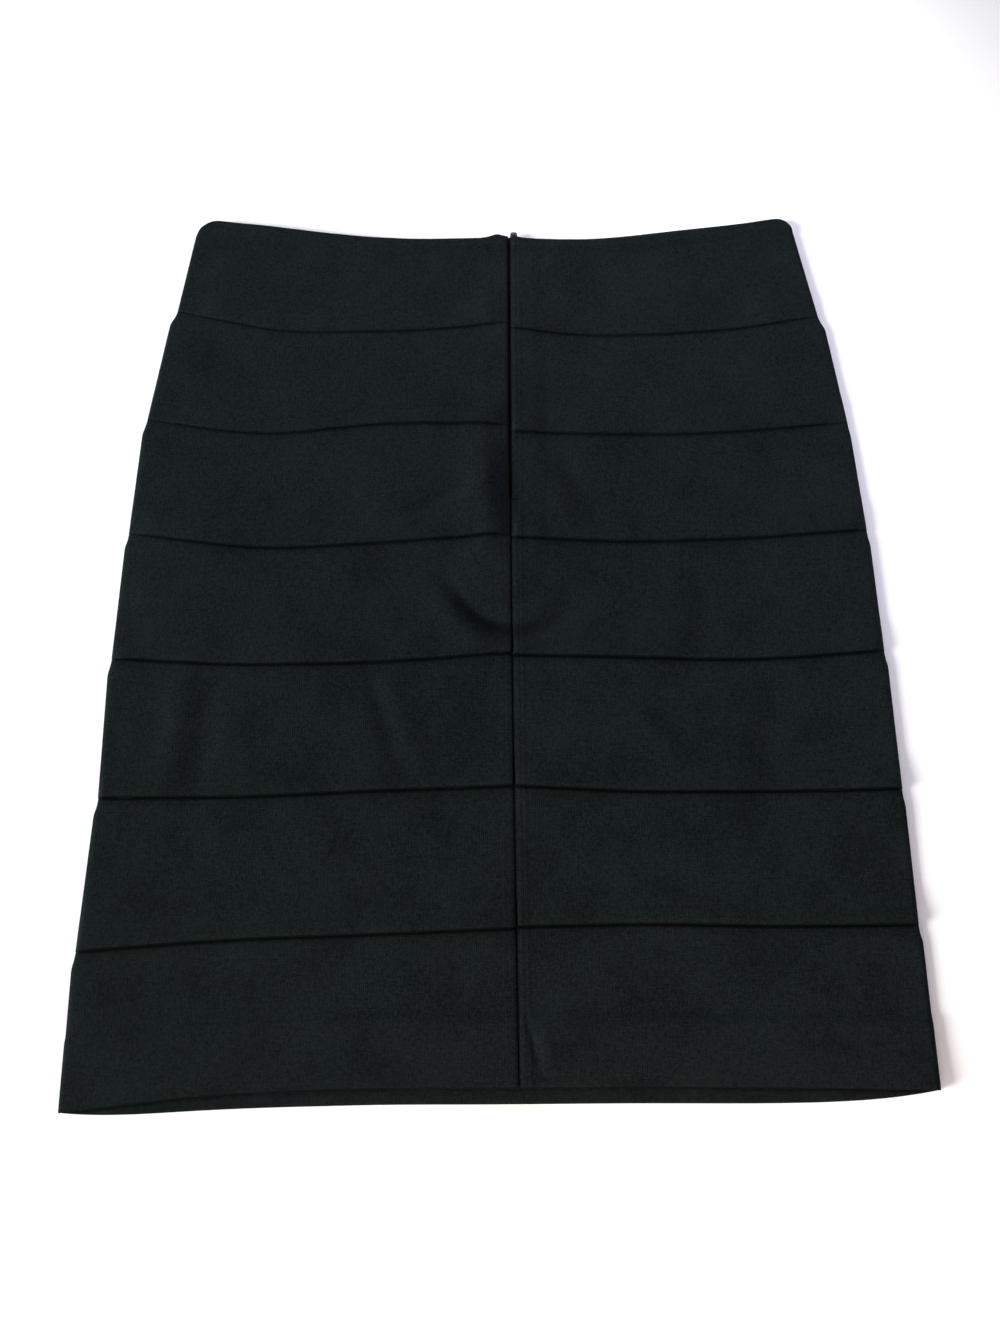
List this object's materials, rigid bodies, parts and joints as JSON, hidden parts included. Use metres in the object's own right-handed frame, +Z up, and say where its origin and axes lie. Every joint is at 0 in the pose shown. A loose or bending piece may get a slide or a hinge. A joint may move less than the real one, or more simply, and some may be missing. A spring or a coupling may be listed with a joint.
{
  "type": "pencil skirt",
  "caption": "Straight banded knit pencil skirt laid flat with its back up: lapped horizontal bands with folded lower edges, a concealed centre-back zip and a turned-up hem.",
  "frame": {"origin": "middle of the box around the skirt, on the surface it lies on", "axes": "+X across the skirt, to the right as seen from above with the waist away, +Y from hem to waist, +Z up"},
  "size_m": [0.457, 0.5596, 0.0103],
  "materials": {
    "cloth": "matte, soft sheen",
    "zip_tape": "matte",
    "zip_coil": "satin",
    "zip_slider": "satin"
  },
  "bodies": {
    "root": {"front_band_1": "cloth", "front_band_2": "cloth", "front_band_3": "cloth", "front_band_4": "cloth", "front_band_5": "cloth", "front_band_6": "cloth", "front_band_7": "cloth", "back_left_band_1": "cloth", "back_left_band_2": "cloth", "back_left_band_3": "cloth", "back_left_band_4": "cloth", "back_left_band_5": "cloth", "back_left_band_6": "cloth", "back_left_band_7": "cloth", "back_right_band_1": "cloth", "back_right_band_2": "cloth", "back_right_band_3": "cloth", "back_right_band_4": "cloth", "back_right_band_5": "cloth", "back_right_band_6": "cloth", "back_right_band_7": "cloth", "zip_tape_left": "zip_tape", "zip_tape_right": "zip_tape", "zip_coil": "zip_coil", "zip_slider": "zip_slider"}
  },
  "joints": []
}
